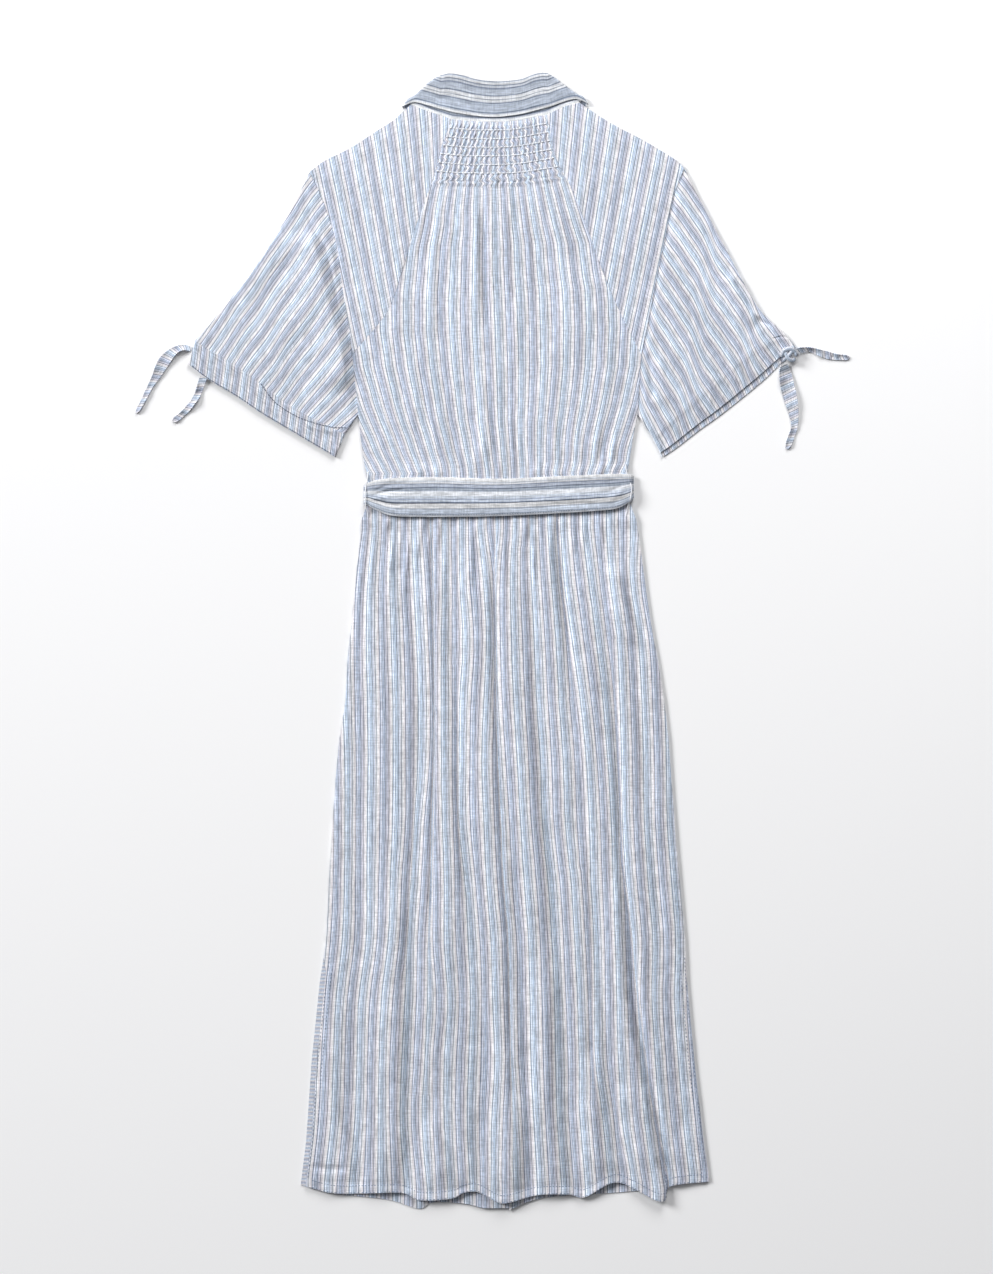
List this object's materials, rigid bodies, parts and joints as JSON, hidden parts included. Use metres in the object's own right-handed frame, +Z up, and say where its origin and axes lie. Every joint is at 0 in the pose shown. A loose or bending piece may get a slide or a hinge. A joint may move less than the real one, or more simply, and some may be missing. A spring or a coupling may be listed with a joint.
{
  "type": "striped midi shirt dress laid flat, back side up",
  "caption": "Belted midi shirt dress laid flat, back up: smocked neck, raglan shoulders, wide tied sleeves, gathered waist, side slits.",
  "frame": {"origin": "middle of the floor area that the dress covers without its tie tails, on the surface it lies on", "axes": "+Y from the hem to the collar, +X to the sleeve on the right of the back view, +Z up out of the back of the dress"},
  "size_m": [0.7807, 1.2398, 0.0091],
  "materials": {
    "striped_cloth": "woven linen blend with blue, slate, grey and cream stripes, soft and matt",
    "cuff_cloth": "the same striped cloth, cut across for the cuff bands and their tie tails",
    "sash_cloth": "the same striped cloth with the stripes along the sash, pressed and edge stitched",
    "button": "pale four-hole buttons with a soft shine"
  },
  "bodies": {
    "root": {"back_bodice": "striped_cloth", "shoulder_left": "striped_cloth", "shoulder_right": "striped_cloth", "sleeve_left": "striped_cloth", "sleeve_right": "striped_cloth", "cuff_left": "cuff_cloth", "cuff_right": "cuff_cloth", "front_bodice_left": "striped_cloth", "front_bodice_right": "striped_cloth", "skirt_back": "striped_cloth", "skirt_front_left": "striped_cloth", "skirt_front_right": "striped_cloth", "placket": "striped_cloth", "collar_fall": "striped_cloth", "collar_stand_back": "striped_cloth", "collar_stand_front": "striped_cloth", "sash": "sash_cloth", "sash_loop_left": "sash_cloth", "sash_loop_right": "sash_cloth", "cuff_knot_right": "cuff_cloth", "tie_left_outer": "cuff_cloth", "tie_left_inner": "cuff_cloth", "tie_right_outer": "cuff_cloth", "tie_right_inner": "cuff_cloth", "button_01": "button", "button_02": "button", "button_03": "button", "button_04": "button", "button_05": "button", "button_06": "button", "button_07": "button", "button_08": "button", "button_09": "button", "button_10": "button"}
  },
  "joints": []
}
